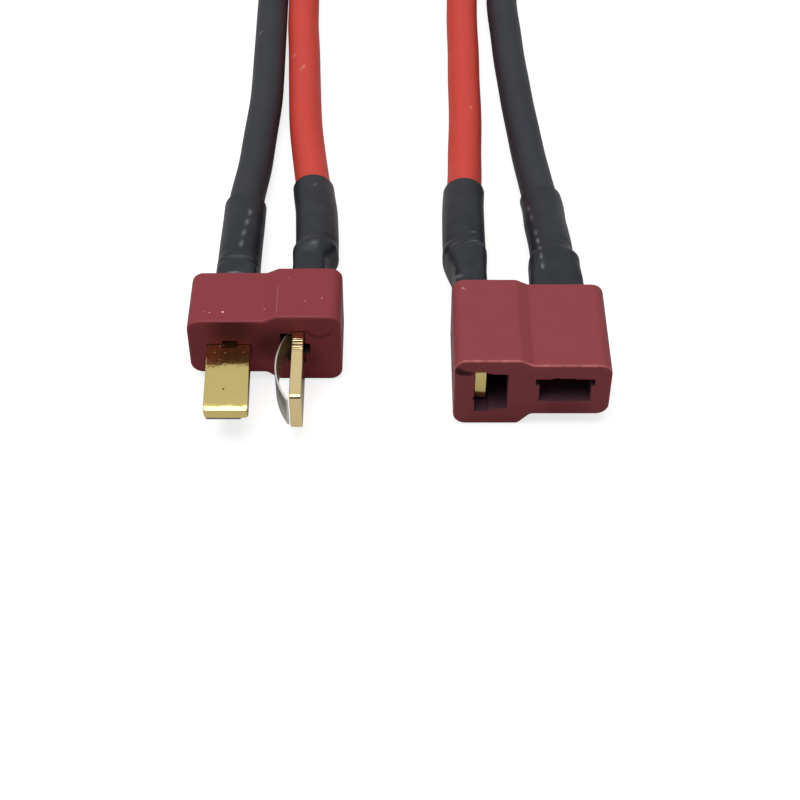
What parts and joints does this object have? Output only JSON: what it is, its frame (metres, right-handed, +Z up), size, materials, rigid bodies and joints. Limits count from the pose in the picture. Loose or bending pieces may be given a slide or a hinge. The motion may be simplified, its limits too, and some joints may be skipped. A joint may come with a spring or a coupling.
{
  "type": "battery connector adapter",
  "caption": "Adapter lead with a polarised two-blade battery plug at one end and the matching two-slot socket at the other, joined by a red and a black wire bent into a U.",
  "frame": {"origin": "middle of the base, on the table under the two connectors side by side, leaving out the two wires", "axes": "+X across from the plug to the socket, +Z up from the table, -Y the way both mating faces look; the wires leave along +Y"},
  "size_m": [0.043, 0.1028, 0.0089],
  "materials": {
    "housing_nylon": "dark red glass-filled nylon, moulded, with a soft sheen",
    "gold_plated_contact": "gold plating over stamped copper alloy",
    "spring_steel": "thin rolled spring strip, bright",
    "copper_strands": "tinned copper strands flattened under solder",
    "solder": "smooth solder",
    "black_heat_shrink": "shrunk polyolefin sleeve",
    "black_silicone": "soft silicone insulation",
    "red_silicone": "soft silicone insulation"
  },
  "bodies": {
    "root": {"male_housing": "housing_nylon", "male_negative_blade": "gold_plated_contact", "male_positive_blade": "gold_plated_contact", "male_negative_spring": "spring_steel", "male_positive_spring": "spring_steel", "male_negative_strands": "copper_strands", "male_positive_strands": "copper_strands", "male_negative_solder": "solder", "male_positive_solder": "solder", "male_negative_sleeve": "black_heat_shrink", "male_positive_sleeve": "black_heat_shrink", "female_housing": "housing_nylon", "female_negative_contact": "gold_plated_contact", "female_positive_contact": "gold_plated_contact", "female_negative_strands": "copper_strands", "female_positive_strands": "copper_strands", "female_negative_solder": "solder", "female_positive_solder": "solder", "female_negative_sleeve": "black_heat_shrink", "female_positive_sleeve": "black_heat_shrink", "black_wire": "black_silicone", "red_wire": "red_silicone"}
  },
  "joints": []
}
